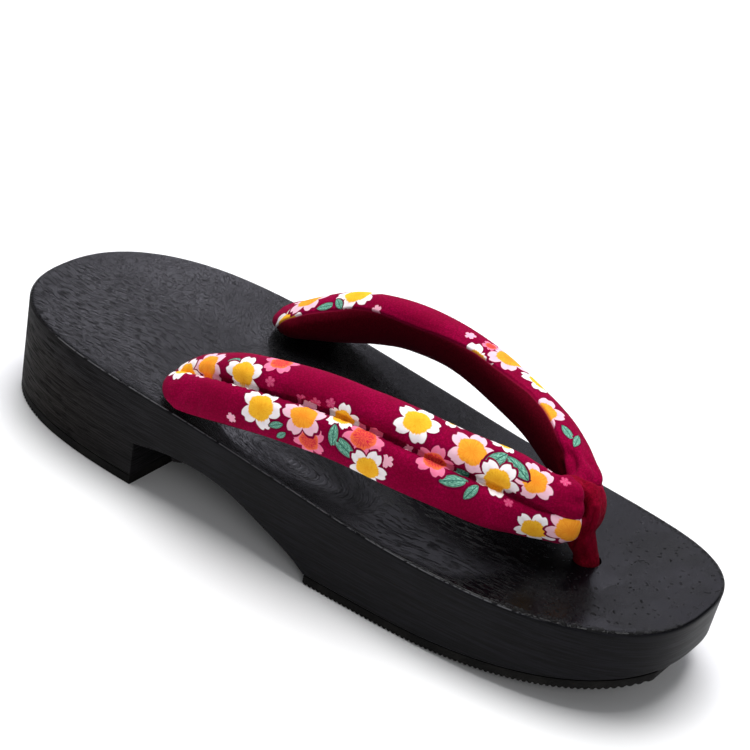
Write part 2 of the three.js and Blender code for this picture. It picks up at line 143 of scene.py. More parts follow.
# The print. The rows of the first two layers are blossoms and those of the third are leaves: along,
# around, radius, turn and kind. The radius of a leaf is half its length.
BLOSSOMS = {
    1: (
        [(120.2, -3.6, 7.2, 14, 1), (94.7, 6.7, 6.9, 40, 0), (71.6, 0.2, 5.2, 55, 0),
         (63.4, 4.2, 6.2, 30, 2), (52.4, -9.0, 7.0, 44, 0), (35.4, -7.8, 7.1, 46, 1),
         (17.1, -7.2, 6.0, 7, 1), (12.9, 6.8, 5.2, 45, 0), (78.1, 11.6, 5.4, 9, 2),
         (95.2, -3.7, 1.7, 0, 3), (85.0, -1.0, 2.0, 30, 3), (75.9, -3.2, 1.7, 60, 3),
         (55.0, 7.6, 2.0, 20, 4), (51.7, 0.2, 1.5, 10, 4), (21.4, 3.0, 1.5, 0, 3),
         (104.2, 12.4, 1.7, 0, 4)],
        [(129.6, 0.4, 6.0, 30, 0), (104.8, -3.8, 6.7, 61, 0), (95.8, -11.5, 5.6, 61, 2),
         (81.6, 4.9, 6.7, 68, 1), (59.4, 12.2, 6.0, 38, 0), (43.7, 0.6, 5.9, 50, 2),
         (26.3, -2.7, 6.5, 29, 0), (6.6, 3.2, 4.6, 32, 1), (80.4, -1.6, 1.8, 0, 3),
         (8.6, -9.5, 1.7, 0, 3), (43.5, -17, 4.8, 10, 0), (27.5, -17.2, 5.2, 40, 0),
         (12.5, -16, 3.2, 0, 1)],
        [(109.8, -7.0, 2.4, 20, 0), (88.9, 10.2, 2.4, 20, 0), (87.2, 12.9, 2.1, 40, 0),
         (71.4, 7.2, 3.3, 103, 0), (67.2, 9.2, 4.2, 155, 0), (28.7, -8.2, 4.5, 236, 0),
         (22.4, -8.8, 4.3, 148, 0), (36.8, 4.5, 4.0, 207, 0), (31.6, 5.2, 3.0, 248, 0),
         (36.2, 0.4, 2.6, 190, 0), (1.6, 7.3, 3.4, 70, 0)],
    ),
    -1: (
        [(130.4, -13.4, 6.5, 53, 0), (106.9, -11.2, 6.9, 2, 0), (58.6, -19.6, 7.3, 56, 0),
         (41.4, -6.2, 6.9, 20, 0), (66.0, -12.4, 1.8, 0, 4), (97.3, -17.5, 1.8, 0, 4),
         (25.4, -1.6, 5.4, 0, 1)],
        [(123.2, -7.2, 6.8, 36, 1), (53.0, -9.3, 6.8, 10, 1), (29.0, -16.4, 6.7, 50, 1),
         (59.5, -10.6, 2.8, 15, 2)],
        [(116.4, -14.2, 3.0, 5, 0), (111.9, -14.6, 2.6, 60, 0), (31.4, -5.8, 3.4, 195, 0),
         (20.1, -13.3, 2.8, 170, 0), (17.0, -11.7, 2.6, 42, 0)],
    ),
}

SCATTER_SEED, SCATTER_TRIES = 12, 900

# The toe wrap: its drum, the edges of its band and how they slant over the top, the post's line as y,
# z and radius, and its creases as width, depth and points
DRUM_Z, DRUM_DEEP, DRUM_TALL = 39.2, 8.2, 10.7
BAND_FAR, BAND_NEAR, SLANT_FAR, SLANT_NEAR = 5.0, 2.3, 5.4, 2.8
BAND_RIM = [(-1.6, 0.3), (0, 0.74), (0.15, 0.88), (-0.35, 0.965), (-1.4, 0.995)]
POST = [(75.0, 37.5, 4.8), (77.2, 33.2, 4.3), (79.2, 29.8, 3.8), (80.6, 27.2, 3.5), (81.3, 25.0, 3.8),
        (81.5, 22.0, 3.95), (81.5, 19.3, 3.9)]
WRAP_LINES = [
    (1.0, 1.2, (2.6, 81.6, 42.5), (2.5, 81.0, 38.0), (3.0, 79.4, 33.5), (4.0, 77.6, 30.5)),
    (0.8, 0.45, (-3.6, 71.5, 50.4), (-2.9, 75.5, 49.3), (-1.6, 79.0, 45.5), (-1.0, 80.6, 41.0)),
    (0.9, 0.3, (2.3, 73.0, 50.9), (1.9, 77.0, 48.6), (1.2, 80.0, 43.5)),
    (0.8, 0.3, (-0.9, 79.9, 36.0), (-0.4, 80.4, 32.0), (-0.9, 82.6, 28.2)),
    (0.8, 0.35, (3.2, 79.0, 36.0), (2.9, 79.6, 31.5), (2.6, 82.2, 27.0)),
]

# The photograph's view: degrees, pixels, and millimetres
AZIMUTH, ELEVATION, ROLL = 121.163, 29.547, 10.471
FOCAL, PHOTO_WIDTH, SENSOR = 2267.736, 750, 36
TARGET, DISTANCE = (-3.449, 0, 45.986), 666.338

# The lights: name, place, aim and size in metres, watts and colour
LIGHTS = [
    ("toe_panel", (-0.86, -0.17, 0.62), (0, -0.17, 0.02), (0.56, 0.55), 1.5, (0.86, 0.84, 1)),
    ("heel_panel", (-0.86, -0.71, 0.62), (0, -0.71, 0.02), (0.52, 0.55), 4.3, (0.88, 0.86, 1)),
    ("top_panel", (-0.25, -0.1, 1.3), (0, 0, 0.02), (1.0, 0.9), 23, (1, 1, 1)),
    ("front_fill", (0.9, 0.9, 0.8), (0, 0, 0.03), (0.6, 0.6), 3, (1, 1, 1)),
]


# Curves

def smooth(places, values):
    """The smooth curve through values at places: each piece is the cubic that leaves a point along
    the chord of its two neighbours. It takes and gives whole arrays."""
    places, values = np.asarray(places, float), np.asarray(values, float)
    values = values.reshape(len(places), -1)
    last = len(places) - 1

    def at(place):
        place = np.atleast_1d(np.asarray(place, float))
        b = np.clip(np.searchsorted(places, place, side="right"), 1, last)
        a = b - 1
        before = np.where(a == 0, b, a - 1)
        after = np.where(b == last, a, np.minimum(b + 1, last))
        ta, tb = places[a], places[b]
        t_before = np.where(a == 0, tb, places[np.maximum(a - 1, 0)])
        t_after = np.where(b == last, ta, places[np.minimum(b + 1, last)])
        half = (tb - ta) / 2
        wb, wa = half / (ta - t_before), half / (t_after - tb)
        p = (place - ta) / (tb - ta)
        q, r = p * p, p * p * p
        parts = (
            (before, -wb * r + 2 * wb * q - wb * p),
            (a, (1 + wb) * r + (-1.5 - 2 * wb) * q + (wb - 0.5) * p + 1),
            (b, (-1 - wa) * r + (1.5 + wa) * q + 0.5 * p),
            (after, wa * r - wa * q),
        )
        return sum(weight[:, None] * values[index] for index, weight in parts)

    return at


def ease(x, low, high):
    """0 up to low, 1 from high, and 3s² - 2s³ between them."""
    s = np.clip((np.asarray(x, float) - low) / (high - low), 0, 1)
    return s * s * (3 - 2 * s)


def half_width(y):
    """Half the outline's width: the lesser of the two ends' (1 - (1 - d/reach)^fullness)^(1/roundness),
    where d is the way in from that end."""
    def share(end, distance):
        left = np.clip(1 - distance / (end["reach"] * LENGTH), 0, 1)
        return (1 - left ** end["fullness"]) ** (1 / end["roundness"])
    toe = share(TOE_END, np.maximum(0, TOE - y))
    heel = share(HEEL_END, np.maximum(0, TOE + y))
    return WIDTH / 2 * np.minimum(toe, heel)


bed_curve = smooth(np.linspace(-TOE, TOE, len(BED)), HEEL_HEIGHT * np.array(BED))
arch_curve = smooth([BREAST + (FOREFOOT - BREAST) * a for a, _ in ARCH],
                    [ARCH_HEIGHT * up for _, up in ARCH])


def bed_height(y):
    """The foot bed's height at y."""
    y = np.asarray(y, float)
    return bed_curve(y.ravel())[:, 0].reshape(y.shape)


def forefoot_height(y):
    """The forefoot's lowest line: flat, then rising with the square of the way to the toe."""
    share = np.maximum(0, (np.asarray(y, float) - SPRING_START) / (TOE - SPRING_START))
    return TOE_SPRING * share ** 2


def wood_underside(y):
    """The wood's underside: level on the heel, the arch between, then the forefoot."""
    y = np.asarray(y, float)
    arch = arch_curve(y.ravel())[:, 0].reshape(y.shape)
    arch = np.maximum(TREAD + SEAM, arch)
    under = np.where(y < BREAST, TREAD + SEAM, arch)
    return np.where(y > FOREFOOT, forefoot_height(y) + TREAD + SEAM, under)


def leaned(y, z):
    """y drawn back as the toe's wall leans in towards the floor."""
    return y - TOE_LEAN * (bed_height(y) - z) * np.maximum(0, y / TOE) ** TOE_LEAN_ONSET


# Meshes

def mesh_object(name, points, quads, corner_data=None, angle=40):
    """A mesh object from points in millimetres and quads, its seams and poles closed, with each
    entry of corner_data as an attribute on the face corners."""
    mesh = bpy.data.meshes.new(name)
    points = np.asarray(points, np.float64).reshape(-1, 3) * METRE
    quads = np.asarray(quads, np.int64).reshape(-1, 4)
    mesh.vertices.add(len(points))
    mesh.vertices.foreach_set("co", points.astype(np.float32).ravel())
    mesh.loops.add(quads.size)
    mesh.loops.foreach_set("vertex_index", quads.astype(np.int32).ravel())
    mesh.polygons.add(len(quads))
    mesh.polygons.foreach_set("loop_start", np.arange(0, quads.size, 4, dtype=np.int32))
    mesh.update(calc_edges=True)
    for key, values in (corner_data or {}).items():
        values = np.asarray(values, np.float32)
        kind = "FLOAT" if values.ndim == 1 else "FLOAT_VECTOR"
        field = "value" if values.ndim == 1 else "vector"
        mesh.attributes.new(key, kind, "CORNER").data.foreach_set(field, values.ravel())
    work = bmesh.new()
    work.from_mesh(mesh)
    bmesh.ops.remove_doubles(work, verts=work.verts, dist=2e-6)
    bmesh.ops.dissolve_degenerate(work, edges=work.edges, dist=1e-7)
    work.to_mesh(mesh)
    work.free()
    mesh.shade_smooth()
    mesh.set_sharp_from_angle(angle=math.radians(angle))
    made = bpy.data.objects.new(name, mesh)
    bpy.context.scene.collection.objects.link(made)
    return made


def grid_quads(rows, columns):
    """The quads of a grid of points whose rows close into rings. They face outwards where a row runs
    round its direction of travel."""
    i, j = np.arange(rows - 1)[:, None], np.arange(columns)[None, :]
    a, b = i * columns + j, i * columns + (j + 1) % columns
    return np.stack([a, b, b + columns, a + columns], -1).reshape(-1, 4)


def normals(grid):
    """Unit normals of a grid whose rows close into rings, from its two differences."""
    along = np.gradient(grid, axis=0)
    around = np.roll(grid, -1, 1) - np.roll(grid, 1, 1)
    out = np.cross(around, along)
    return out / np.maximum(np.linalg.norm(out, axis=-1, keepdims=True), 1e-9)


def tube(path, radius, sides):
    """A tube round a path: the points path + radius(cos·a + sin·b), where a is square to the path and
    to a fixed slant, and b to the path and a. radius may be an array of one row for each point."""
    path = np.asarray(path, float)
    ahead = np.gradient(path, axis=0)
    ahead /= np.linalg.norm(ahead, axis=1, keepdims=True)
    a = np.cross(ahead, [0.31, 0.17, 0.94])
    a /= np.linalg.norm(a, axis=1, keepdims=True)
    b = np.cross(ahead, a)
    angle = np.linspace(0, 2 * np.pi, sides, endpoint=False)[None, :]
    radius = np.broadcast_to(np.asarray(radius, float), (len(path), sides))
    return (path[:, None] + radius[..., None]
            * (np.cos(angle)[..., None] * a[:, None] + np.sin(angle)[..., None] * b[:, None]))


def block_grid(stations, section, under, rise=0.0):
    """The block's surface as a grid: stations along it, taken from the toe to the heel, and at each one
    the columns of section, which are u across, inset from the wall, share of the height and offset in
    height. The height is rise, or else reaches up to the bed."""
    u, inset, share, offset = (np.array(column, float)[None, :] for column in zip(*section))
    y = np.asarray(stations, float)[::-1, None]
    low = under(y)
    for _ in range(2):
        low = under(leaned(y, low))
    top = low + rise if rise else bed_height(y)
    z = low + share * (top - low) + offset
    x = u * half_width(y) * (1 - 2 * inset / WIDTH)
    return np.stack([x, leaned(y * (1 - 2 * inset / LENGTH), z), z + 0 * x], -1)


def quarter(radius, steps):
    """inset and drop along a quarter round, from the wall to the face."""
    angle = np.linspace(0, np.pi / 2, steps + 1)
    return list(zip(radius * (1 - np.cos(angle)), radius * (1 - np.sin(angle))))


def block_section(across, up, top_round, under_round, steps):
    """Columns for block_grid, counter-clockwise seen from the heel: the right wall, the top, the left
    wall, the underside."""
    walls = np.linspace(0, 1, up + 1)
    lower = [(1, i, 0, d) for i, d in quarter(under_round, steps)][::-1]
    wall = [(1, 0, s, under_round * (1 - s) - top_round * s) for s in walls[1:-1]]
    upper = [(1, i, 1, -d) for i, d in quarter(top_round, steps)]
    right = lower + wall + upper
    top = [(u, top_round, 1, 0) for u in np.linspace(1, -1, across + 1)[1:-1]]
    left = [(-u, i, s, o) for u, i, s, o in reversed(right)]
    under = [(u, under_round, 0, 0) for u in np.linspace(-1, 1, across + 1)[1:-1]]
    return right + top + left + under


# The wooden base and the treads

def along_stations(count, extra):
    """Stations closer together towards both tips, with extra ones among them."""
    even = -TOE * np.cos(np.pi * np.arange(count + 1) / count)
    return np.unique(np.concatenate([even, extra]))


def wooden_base():
    """The block between the foot bed and the underside, as one closed grid."""
    step = 0.004  # two stations this close make the breast's upright wall
    near_breast = BREAST + np.array([-3, -1, -0.4, -step, step, 0.4, 1, 3])
    near_front = FOREFOOT + np.array([-3, -1, -0.3, 0, 0.3, 1])
    stations = along_stations(300, np.concatenate([near_breast, near_front]))
    section = block_section(40, 16, EDGE_ROUND, UNDER_ROUND, 5)
    grid = block_grid(stations, section, wood_underside)
    return mesh_object("wood_base_lacquered", grid, grid_quads(*grid.shape[:2]), angle=35)


def ribs(y):
    """The tread's height above its lowest line: V-shaped grooves across it, fading out at the toe."""
    phase = np.abs((y / RIB_PITCH) % 1 - 0.5) * 2
    return RIB_DEPTH * ease(phase, 0.25, 0.95) * (1 - ease(y, SMOOTH_TOE - 3, SMOOTH_TOE))


def shell(rings):
    """Rings of points with their first and last drawn in to a point, which closes the surface."""
    first, last = (ring.mean(1, keepdims=True) + 0 * ring for ring in (rings[:1], rings[-1:]))
    return np.concatenate([first, rings, last])


def tread(stations, lowest, ribbed):
    """A tread's grid, ribbed below where ribbed says. Its wall stands a hair inside the wood's."""
    section = block_section(8, 3, 0.12, 0.25, 2)
    grid = block_grid(stations, section, lowest, rise=TREAD)
    below = np.array([share < 0.5 for _, _, share, _ in section])
    grid[..., 2] += below * ribbed(grid[..., 0], grid[..., 1])
    grid[..., 0] *= TREAD_INSET
    return grid


def front_tread():
    """The forefoot's rubber: ribbed across below, up to its smooth tip under the toe."""
    stations = np.linspace(FOREFOOT, TOE - 0.25, 560)
    grid = tread(stations, forefoot_height, lambda x, y: ribs(y))
    grid = grid[grid[..., 1].max(1) <= TOE - TREAD_TOE_MARGIN + 0.3]
    return together("front_rubber_tread", [shell(grid)], angle=30)


def heel_tread():
    """The heel's rubber: ribbed across below, with a smooth rim round the sides and the back. Its ends
    are drawn in to its middle line, which closes them."""
    tip = -TOE * np.cos(np.linspace(0, 0.35, 60))
    stations = np.unique(np.concatenate([tip, np.linspace(tip[-1], BREAST, 320)]))
    grid = tread(stations, lambda y: 0 * y,
                 lambda x, y: (np.abs(x) < RIBBED_HALF) * ribs(y) * ease(y, *HEEL_RIM))
    grid = np.concatenate([grid[:1] * [0, 1, 1], grid, grid[-1:] * [0, 1, 1]])
    return mesh_object("heel_rubber_tread", grid, grid_quads(*grid.shape[:2]), angle=30)


def together(name, grids, angle=60):
    """One mesh object from several grids whose rows close into rings."""
    points, quads, start = [], [], 0
    for grid in grids:
        points.append(grid.reshape(-1, 3))
        quads.append(grid_quads(*grid.shape[:2]) + start)
        start += len(points[-1])
    return mesh_object(name, np.concatenate(points), np.concatenate(quads), angle=angle)


def upright(radius, x, y, high, low=-5, sides=64):
    """A closed upright cylinder's grid, as a cutter for holes."""
    angle = np.linspace(0, 2 * np.pi, sides, endpoint=False)
    ring = np.stack([x + radius * np.cos(angle), y + radius * np.sin(angle), 0 * angle], -1)
    centre = np.broadcast_to([x, y, 0.0], ring.shape)
    return np.stack([centre + [0, 0, low], ring + [0, 0, low], ring + [0, 0, high], centre + [0, 0, high]])


def applied(piece):
    """The piece with its modifiers worked into its mesh."""
    bpy.context.view_layer.update()
    drawn = piece.evaluated_get(bpy.context.evaluated_depsgraph_get())
    piece.data = bpy.data.meshes.new_from_object(drawn)
    piece.modifiers.clear()
    return piece


def cut_holes(piece, holes):
    """Takes upright cylinders out of a piece."""
    cutter = together("cutter", [upright(*hole) for hole in holes], angle=40)
    cut = piece.modifiers.new("holes", "BOOLEAN")
    cut.operation, cut.solver, cut.object = "DIFFERENCE", "EXACT", cutter
    applied(piece).data.set_sharp_from_angle(angle=math.radians(35))
    bpy.data.objects.remove(cutter)
    return piece


# The strap

def arm_curve(side):
    """An arm's centre, half width, half thickness, lean and groove as one smooth curve of the way
    along it. Both arms are drawn on the +X side; side tells which one it is."""
    out, back, up, width, thick, lean, sway, groove = np.array(ARM, float).T
    y = JUNCTION - (JUNCTION + REAR_HOLE_BACK + HEEL_REACH[side]) * back
    rows = np.stack([
        STRAP_SPREAD * out + side * STRAP_SWAY[side] * sway, y, bed_height(y) + STRAP_RISE * up,
        STRAP_WIDTH / 2 * width, STRAP_THICKNESS / 2 * thick, np.radians(lean),
        GROOVE_DEPTH * groove], -1)
    steps = np.linalg.norm(np.diff(rows[:, :3], axis=0), axis=1)
    places = np.concatenate([[0], np.cumsum(steps)])
    return smooth(places, rows), places[-1]


def arm_grid(side, places_count, angles):
    """The arm's surface: centre + across·wide·cos + out·thick·bulge·sin, where bulge is the two rolls
    with the groove between them on the printed face, and flatter on the lining. Gives the grid, the
    way along for each row, and the way round from the groove for each point."""
    curve, length = arm_curve(side)
    place = length * np.sin(np.pi / 2 * np.linspace(0, 1, places_count + 1))
    values = curve(place)
    near = length / 38  # the direction of travel is evened out over this much on either side
    ahead = (curve(np.minimum(length, place + near)) - curve(np.maximum(0, place - near)))[:, :3]
    ahead[0] = [1, 0, 0]
    ahead /= np.linalg.norm(ahead, axis=1, keepdims=True)
    level = np.cross([0, 0, 1], ahead)
    level /= np.linalg.norm(level, axis=1, keepdims=True)
    face = np.cross(ahead, level)
    lean = values[:, 5:6]
    across = np.cos(lean) * level - np.sin(lean) * face
    out = np.sin(lean) * level + np.cos(lean) * face
    wide, thick, groove = values[:, 3:4], values[:, 4:5], values[:, 6:7]
    past = np.clip((place[:, None] - length + wide) / wide, 0, 1)
    scale = np.sqrt(1 - past ** 2)
    u, v = np.cos(angles)[None, :], np.sin(angles)[None, :]
    rolls = 1 - groove * np.exp(-(np.abs(u) / GROOVE_WIDTH) ** 1.15)
    bulge = np.where(v > 0, rolls, LINING_FLATNESS)
    grid = (values[:, None, :3]
            + (scale * wide * u)[..., None] * across[:, None]
            + (scale * thick * bulge * v)[..., None] * out[:, None])
    grid[..., 0] *= side
    return grid, place


def folds(rows, along, around):
    """Creases as one height field over the cloth: each row of the table takes depth·exp(-(t/width)²)
    away along a line of the given length, and adds a third of that on its two shoulders."""
    height = np.zeros(np.broadcast(along, around).shape)
    for place, round_to, length, turn, width, depth in rows:
        c, s = math.cos(math.radians(turn)), math.sin(math.radians(turn))
        da, dv = along - place, around - round_to
        run, off = c * da + s * dv, c * dv - s * da
        off = off + 0.12 * length * np.sin(run / length * 2.1)
        fade = np.exp(-(run / (0.55 * length)) ** 4)
        line = np.exp(-(off / width) ** 2) - 0.33 * np.exp(-((np.abs(off) / width - 1.9) ** 2))
        height -= depth * fade * line
    return height


def seam_gap(along, around):
    """How far the cloth's print runs on past a point, in millimetres: less than 0 on the lining."""
    inner = np.interp(along, *np.array(INNER_SEAM, float).T)
    return np.where(around < 0, around + inner, OUTER_SEAM - around)


def local_places(flowers, along, around, corner_along, corner_around):
    """For every face, its corners in the frame of the nearest flower: x and y in that flower's radii,
    and its kind. Where no flower is near, x is 9."""
    a, v, radius, turn, kind = np.array(flowers, float).T
    apart = np.hypot(along[:, None] - a, around[:, None] - v) / radius
    near = apart.argmin(1)
    da = (corner_along - a[near][:, None]) / radius[near][:, None]
    dv = (corner_around - v[near][:, None]) / radius[near][:, None]
    c, s = np.cos(np.radians(turn[near]))[:, None], np.sin(np.radians(turn[near]))[:, None]
    x, y = c * da + s * dv, c * dv - s * da
    x = np.where(apart.min(1)[:, None] < 1.7, x, 9)
    return np.stack([x, y, np.broadcast_to(kind[near][:, None], x.shape)], -1)


def scattered():
    """Flowers on the far arm's outer side, which the photograph hides: tries in a fixed order, each
    kept clear of the rest."""
    draw = np.random.default_rng(SCATTER_SEED)
    kept = [row[:3] for layer in BLOSSOMS[-1] for row in layer]
    added = []
    for _ in range(SCATTER_TRIES):
        along, around = draw.uniform(4, 132), draw.uniform(3, 16)
        radius, turn, kind = draw.uniform(4.8, 6.9), draw.uniform(0, 72), draw.integers(0, 3)
        if all(math.hypot(along - a, around - v) > 0.97 * (radius + r) for a, v, r in kept):
            kept.append((along, around, radius))
            added.append((along, around, radius, turn, kind))
    return added


def face_corners(field):
    """A field over a grid's points as the four values at each face's corners."""
    return np.stack([field[:-1, :-1], field[:-1, 1:], field[1:, 1:], field[1:, :-1]], -1).reshape(-1, 4)


def strap_relief(side, along, around, gap):
    """How far the cloth stands off the arm's plain form: folds, slow waves, the puckered groove, the
    seam's ridge and stitch line, the bulging end at the wrap, and the far arm's fuller lining."""
    height = folds(FOLDS[side], along, around)
    height += 0.16 * np.sin(along / 6.3 + side) * np.sin(around / 5.2 + along / 19)
    ripple = np.sin(along * 2.2 + 1.7 * np.sin(along / 4.1) + side)
    height += 0.13 * ripple * np.exp(-((np.abs(around) - 1.6) / 1.5) ** 2)
    height += 0.3 * np.exp(-((gap - 0.5) / 0.8) ** 2) - 0.4 * np.exp(-(gap / 0.35) ** 2)
    pinch = 1 + 0.22 * np.sin(along * 1.3 + 2 * np.sin(along / 5.3) + side)
    pressed = ease(along, 3, 14) * ease(CHART_LENGTH - along, 3, 14)
    height -= CREASE * pinch * pressed * np.exp(-(np.abs(around) / CREASE_WIDTH) ** 1.3)
    height *= ease(along, 0, 5) * ease(CHART_LENGTH - along, 0, 4)
    tall, peak, run = END_SWELL[side]
    swell = tall * ease(along, 1.5, 5) * np.exp(-((along - peak) / run) ** 2)
    height += swell * ease(around, -14, -6) * ease(-around, -12, -4)
    if side < 0:
        height += 1.7 * ease(-gap, -1, 3) * ease(along, 92, 114) * ease(-along, -137, -130)
    return height


def strap():
    """Both arms as one closed surface, joined where they meet under the toe wrap."""
    even = np.linspace(-np.pi / 2, 1.5 * np.pi, ARM_COLUMNS, endpoint=False)
    angles = even + 0.5 * np.cos(even)
    groove = ARM_COLUMNS // 2
    points, quads, data, start = [], [], {}, 0
    for side in (1, -1):
        grid, place = arm_grid(side, ARM_ROWS, angles)
        reach = np.cumsum(np.linalg.norm(np.roll(grid, -1, 1) - grid, axis=2), axis=1)
        reach = np.concatenate([0 * reach[:, :1], reach], 1)
        around = reach[:, groove:groove + 1] - reach
        along = place[:, None] * CHART_LENGTH / place[-1] + 0 * around
        gap = seam_gap(along, around)
        height = strap_relief(side, along, around, gap)
        out = normals(grid)
        out *= np.sign((out * (grid - grid.mean(1, keepdims=True))).sum())
        grid = grid + height[:, :-1, None] * out
        grid[..., 2] = np.maximum(grid[..., 2], bed_height(grid[..., 1]) + BED_CLEARANCE)
        faces = grid_quads(*grid.shape[:2])
        flip = slice(None, None, side)
        along, around, gap = (face_corners(field)[:, flip] for field in (along, around, gap))
        centres = along.mean(1), around.mean(1)
        low, high, leafy = BLOSSOMS[side]
        if side < 0:
            low = low + scattered()
        rows = {"seam": gap, "along": along, "around": around}
        for key, table in (("blossom_low", low), ("blossom_high", high), ("leaf", leafy)):
            rows[key] = local_places(table, *centres, along, around)
        for key, values in rows.items():
            data.setdefault(key, []).append(values.reshape(-1, *values.shape[2:]))
        points.append(grid.reshape(-1, 3))
        quads.append(faces[:, flip] + start)
        start += len(points[-1])
    data = {key: np.concatenate(values) for key, values in data.items()}
    return mesh_object("strap_printed_cotton", np.concatenate(points), np.concatenate(quads), data, 80)


# The toe wrap, the post and the knotted cords

def melted(piece, voxel, rounds):
    """The piece remeshed as one skin, then smoothed."""
    remesh = piece.modifiers.new("one_skin", "REMESH")
    remesh.mode, remesh.voxel_size = "VOXEL", voxel * METRE
    calm = piece.modifiers.new("calm", "SMOOTH")
    calm.factor, calm.iterations = 0.5, rounds
    applied(piece).data.shade_smooth()
    return piece


def creased(piece, lines):
    """Pushes a piece's surface in along lines given in millimetres, by depth·exp(-(d/width)²) where d
    is the distance from the line, with a third of that raised on the two shoulders."""
    mesh = piece.data
    flat = np.empty(len(mesh.vertices) * 3, np.float32)
    mesh.vertices.foreach_get("co", flat)
    points = flat.reshape(-1, 3).astype(float) / METRE
    out = np.empty(len(mesh.vertices) * 3, np.float32)
    mesh.vertex_normals.foreach_get("vector", out)
    height = np.zeros(len(points))
    for width, depth, *line in lines:
        line = np.array(line, float)
        far = np.full(len(points), 1e9)
        for a, b in zip(line[:-1], line[1:]):
            run = b - a
            share = np.clip((points - a) @ run / (run @ run), 0, 1)
            far = np.minimum(far, np.linalg.norm(points - a - share[:, None] * run, axis=1))
        height -= depth * (np.exp(-(far / width) ** 2) - 0.33 * np.exp(-((far / width - 1.9) ** 2)))
    points += height[:, None] * out.reshape(-1, 3)
    mesh.vertices.foreach_set("co", (points * METRE).astype(np.float32).ravel())
    mesh.update()
    return piece


def toe_wrap():
    """The crepe wound round the strap's middle, drawn down in one skin into the post."""
    turn = np.linspace(0, 2 * np.pi, 72, endpoint=False)
    over = ease(np.degrees(turn), 35, 85) * ease(-np.degrees(turn), -165, -110)
    far, near = BAND_FAR - SLANT_FAR * over, BAND_NEAR + SLANT_NEAR * over
    profile = [(-far - grown, share) for grown, share in BAND_RIM]
    profile += [(near + grown, share) for grown, share in reversed(BAND_RIM)]
    deep, tall = DRUM_DEEP * np.cos(turn), DRUM_TALL * np.sin(turn)
    drum = np.stack([np.stack([out, JUNCTION + deep * share, DRUM_Z + tall * share], -1)
                     for out, share in profile])
    curve = smooth(np.linspace(0, 1, len(POST)), [(0, y, z, r) for y, z, r in POST])(np.linspace(0, 1, 40))
    post = tube(curve[:, :3], curve[:, 3:4], 48)
    piece = together("toe_wrap_crepe", [shell(drum), shell(post)])
    return creased(melted(piece, 0.36, 5), WRAP_LINES)


def stranded(path, radius, phase):
    """A cord of three strands: its radius swells three times round, turning as it goes along."""
    way = np.concatenate([[0], np.cumsum(np.linalg.norm(np.diff(path, axis=0), axis=1))])
    angle = np.linspace(0, 2 * np.pi, 24, endpoint=False)[None, :]
    swell = 1 + 0.1 * np.cos(3 * angle - way[:, None] * 1.15 + phase)
    return tube(path, radius * swell, 24)


def knotted_cord(name, x, y, roof, top, thick):
    """An overhand knot under the wood and the cord that runs up from it."""
    t = np.linspace(-0.06, 2 * np.pi + 0.06, 189)[:, None]
    middle = roof - GAP - KNOT_HEIGHT / 2
    reach, lift = (KNOT_RADIUS - thick * 1.08) / 3, (KNOT_HEIGHT / 2 - thick) * 0.98
    path = np.concatenate([x + reach * (np.sin(t) + 2 * np.sin(2 * t)),
                           y + reach * (np.cos(t) - 2 * np.cos(2 * t)),
                           middle - lift * np.sin(3 * t)], 1)
    loop = stranded(path, thick, 0.0)
    up = np.linspace(middle, top, 60)[:, None]
    cord = stranded(np.concatenate([x + 0 * up, y + 0 * up, up], 1), thick, 1.0)
    end = np.linspace(middle, middle - KNOT_HEIGHT / 2 - 1.2, 20)[:, None]
    tail = np.concatenate([x + 2.2 + 0 * end, y - 1.5 + 0 * end, end], 1)
    grids = [shell(loop), shell(cord), shell(stranded(tail, thick * 0.8, 2.0))]
    return melted(together(name, grids), 0.3, 2)


# Materials

class Term:
    """A socket that takes part in arithmetic."""

    def __init__(self, recipe, socket):
        self.recipe, self.socket = recipe, socket

    def _do(self, operation, *values):
        return self.recipe.node("ShaderNodeMath", {"operation": operation}, dict(enumerate(values)))

    def __add__(self, other): return self._do("ADD", self, other)
    def __sub__(self, other): return self._do("SUBTRACT", self, other)
    def __mul__(self, other): return self._do("MULTIPLY", self, other)
    def __truediv__(self, other): return self._do("DIVIDE", self, other)
    def __pow__(self, other): return self._do("POWER", self, other)
    def __mod__(self, other): return self._do("FLOORED_MODULO", self, other)
    def __radd__(self, other): return self._do("ADD", other, self)
    def __rsub__(self, other): return self._do("SUBTRACT", other, self)
    def __rmul__(self, other): return self._do("MULTIPLY", other, self)
    def __abs__(self): return self._do("ABSOLUTE", self)
    def __gt__(self, other): return self._do("GREATER_THAN", self, other)
    def __lt__(self, other): return self._do("LESS_THAN", self, other)
    def most(self, other): return self._do("MAXIMUM", self, other)

    def ease(self, low, high):
        """0 up to low and 1 from high, smoothly; low may be above high."""
        return self.recipe.node("ShaderNodeMapRange", {"interpolation_type": "SMOOTHSTEP"},
                                {"Value": self, "From Min": low, "From Max": high})


